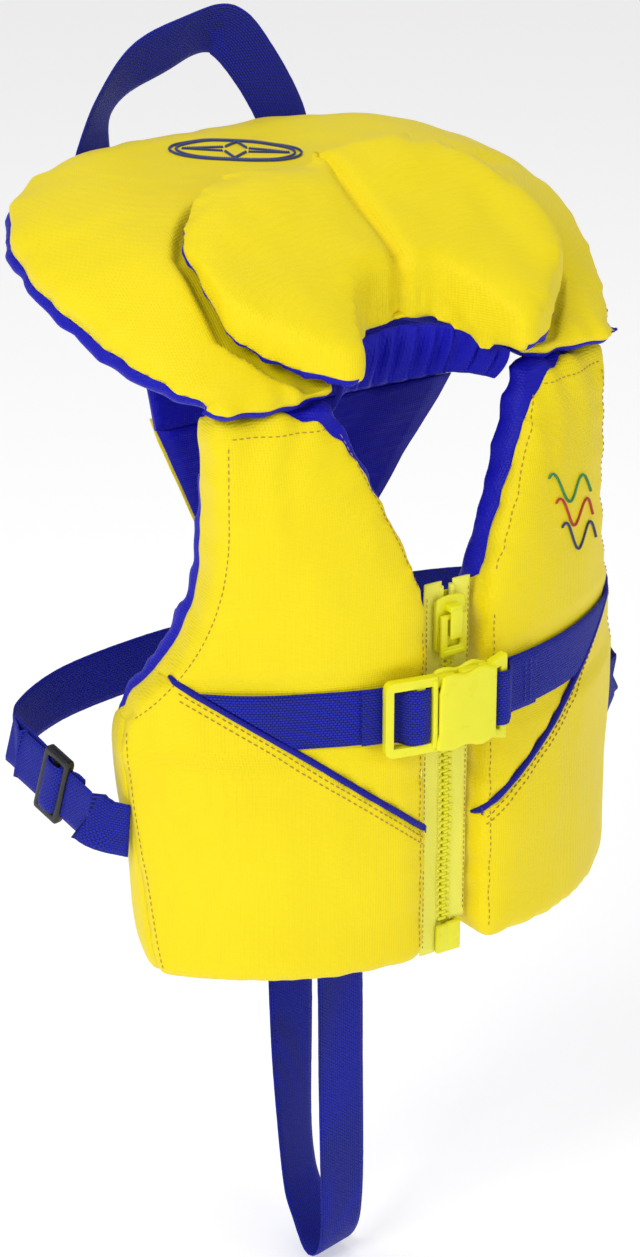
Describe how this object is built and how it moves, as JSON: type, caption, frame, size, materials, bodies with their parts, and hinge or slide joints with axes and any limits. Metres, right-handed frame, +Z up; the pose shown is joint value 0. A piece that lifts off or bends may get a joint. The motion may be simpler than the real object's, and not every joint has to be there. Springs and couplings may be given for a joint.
{
  "type": "life jacket",
  "caption": "Infant foam life jacket with a big head-support collar, front zip and side-release belt buckle, V-shaped back panel, grab handle and crotch strap.",
  "frame": {"origin": "middle of the torso at the height of the shoulder seams, where the wearer's shoulders carry the jacket", "axes": "+Z up along the spine, -Y the way the wearer faces, -X the wearer's right"},
  "size_m": [0.2998, 0.2283, 0.5824],
  "materials": {
    "cover": "matt woven nylon",
    "lining": "matt woven nylon",
    "piping": "matt",
    "webbing": "ribbed weave",
    "foam": "closed-cell foam",
    "zip_tape": "knit",
    "zip": "moulded acetal",
    "buckle": "moulded acetal",
    "tri_glide": "moulded acetal"
  },
  "bodies": {
    "collar": {"collar_foam": "foam", "collar_cover": "cover", "collar_underside": "lining", "back_yoke": "lining", "back_panel_lining": "lining", "back_panel_cover": "cover", "back_belt": "webbing"},
    "right_front": {"right_foam": "foam", "right_chest_cover": "cover", "right_lower_cover": "cover", "right_lining": "lining", "right_side_gusset": "cover", "right_piping": "piping", "right_belt": "webbing", "right_zip_tape": "zip_tape", "right_zip_teeth": "zip", "right_side_strap": "webbing", "zip_pin": "zip"},
    "left_front": {"left_foam": "foam", "left_chest_cover": "cover", "left_lower_cover": "cover", "left_lining": "lining", "left_side_gusset": "cover", "left_piping": "piping", "left_belt": "webbing", "left_zip_tape": "zip_tape", "left_zip_teeth": "zip", "left_side_strap": "webbing", "buckle_socket": "buckle", "zip_box": "zip"},
    "buckle_plug": {"buckle_plug": "buckle", "right_belt_loop": "webbing"},
    "upper_prong": {"buckle_prong_upper": "buckle"},
    "lower_prong": {"buckle_prong_lower": "buckle"},
    "zip_slider": {"zip_slider": "zip"},
    "zip_pull": {"zip_pull": "zip"},
    "head_flap": {"head_flap_foam": "foam", "head_flap_cover": "cover", "head_flap_underside": "lining"},
    "grab_handle": {"grab_handle": "webbing"},
    "pillow": {"pillow_right_foam": "foam", "pillow_right_cover": "cover", "pillow_right_underside": "lining", "pillow_left_foam": "foam", "pillow_left_cover": "cover", "pillow_left_underside": "lining"},
    "crotch_strap": {"crotch_strap": "webbing"},
    "right_tri_glide": {"right_tri_glide": "tri_glide"},
    "left_tri_glide": {"left_tri_glide": "tri_glide"}
  },
  "joints": [
    {"name": "right_front_swing", "type": "hinge", "parent": "collar", "child": "right_front", "pos_m": [0, 0.071, -0.13], "axis": [0, 0, -1], "range_deg": [0, 20]},
    {"name": "left_front_swing", "type": "hinge", "parent": "collar", "child": "left_front", "pos_m": [0, 0.071, -0.13], "axis": [0, 0, 1], "range_deg": [0, 20]},
    {"name": "buckle_release", "type": "hinge", "parent": "right_front", "child": "buckle_plug", "pos_m": [0, 0.071, -0.1315], "axis": [0, 0, -1], "range_deg": [0, 9]},
    {"name": "upper_prong_squeeze", "type": "hinge", "parent": "buckle_plug", "child": "upper_prong", "pos_m": [-0.01747, -0.09438, -0.1235], "axis": [-0.105, -0.9945, 0], "range_deg": [0, 8], "stiffness_Nm_per_rad": 0.02},
    {"name": "lower_prong_squeeze", "type": "hinge", "parent": "buckle_plug", "child": "lower_prong", "pos_m": [-0.01747, -0.09438, -0.1395], "axis": [-0.105, -0.9945, 0], "range_deg": [-8, 0]},
    {"name": "zip_slider_travel", "type": "slide", "parent": "left_front", "child": "zip_slider", "axis": [0, 0, -1], "range_m": [0, 0.129]},
    {"name": "zip_pull_swing", "type": "hinge", "parent": "zip_slider", "child": "zip_pull", "pos_m": [0, -0.08145, -0.0965], "axis": [1, 0, 0], "range_deg": [-120, 0]},
    {"name": "head_flap_fold", "type": "hinge", "parent": "collar", "child": "head_flap", "pos_m": [0, 0.0563, 0.0262], "axis": [-1, 0, 0], "range_deg": [0, 35], "stiffness_Nm_per_rad": 1},
    {"name": "grab_handle_lean", "type": "hinge", "parent": "head_flap", "child": "grab_handle", "pos_m": [0, 0.1269, 0.0582], "axis": [-1, 0, 0], "range_deg": [-12, 90], "stiffness_Nm_per_rad": 0.02},
    {"name": "pillow_lift", "type": "hinge", "parent": "collar", "child": "pillow", "pos_m": [0, -0.071, 0.0075], "axis": [1, 0, 0], "range_deg": [0, 50]},
    {"name": "crotch_strap_swing", "type": "hinge", "parent": "collar", "child": "crotch_strap", "pos_m": [0, 0.0538, -0.164], "axis": [-1, 0, 0], "range_deg": [-10, 30]},
    {"name": "right_tri_glide_slide", "type": "slide", "parent": "right_front", "child": "right_tri_glide", "axis": [-0.1864, 0.9321, 0.3107], "range_m": [-0.01, 0.01]},
    {"name": "left_tri_glide_slide", "type": "slide", "parent": "left_front", "child": "left_tri_glide", "axis": [0.1864, 0.9321, 0.3107], "range_m": [-0.01, 0.01]}
  ],
  "couplings": [
    {"joint": "lower_prong_squeeze", "follows": "upper_prong_squeeze", "ratio": -1}
  ]
}
